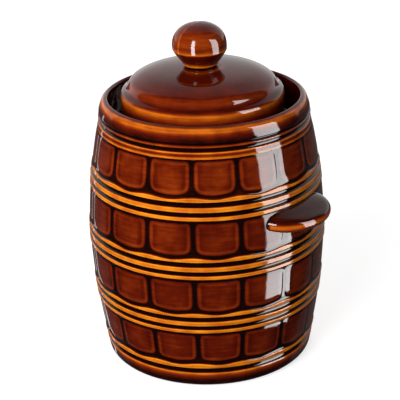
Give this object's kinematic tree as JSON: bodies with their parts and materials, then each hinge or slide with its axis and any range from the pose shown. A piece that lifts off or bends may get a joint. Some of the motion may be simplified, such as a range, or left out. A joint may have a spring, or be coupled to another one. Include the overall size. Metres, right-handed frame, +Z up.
{
  "type": "fermentation crock",
  "caption": "Barrel-shaped glazed stoneware crock with moulded hoops, two ledge handles, a water-sealed lid with a ball knob and loose inside weights.",
  "frame": {"origin": "middle of the foot ring's flat underside, on the table", "axes": "+Z up along the barrel's axis, +X out along one handle and -X along the other, +Y from the front vent notch of the lid to the back one"},
  "size_m": [0.2374, 0.1996, 0.2868],
  "materials": {
    "barrel_glaze": "glossy brown glaze, amber where it thins over the ridges and near black where it pools in the grooves",
    "handle_glaze": "glossy brown glaze, amber on the rounded nose",
    "lid_glaze": "glossy dark red-brown glaze, amber along the skirt's edge",
    "knob_glaze": "glossy amber-brown glaze",
    "bare_stoneware": "unglazed buff stoneware, matt"
  },
  "bodies": {
    "crock": {"crock_body": "barrel_glaze", "handle_right": "handle_glaze", "handle_left": "handle_glaze"},
    "lid": {"lid": "lid_glaze", "lid_knob": "knob_glaze"},
    "weight_back": {"weight_back": "bare_stoneware"},
    "weight_front": {"weight_front": "bare_stoneware"}
  },
  "joints": [
    {"name": "lid_lift", "type": "slide", "parent": "crock", "child": "lid", "axis": [0, 0, 1], "range_m": [0, 0.1]},
    {"name": "weight_back_lift", "type": "slide", "parent": "crock", "child": "weight_back", "axis": [0, 0, 1], "range_m": [0, 0.158]},
    {"name": "weight_front_lift", "type": "slide", "parent": "crock", "child": "weight_front", "axis": [0, 0, 1], "range_m": [0, 0.158]}
  ]
}
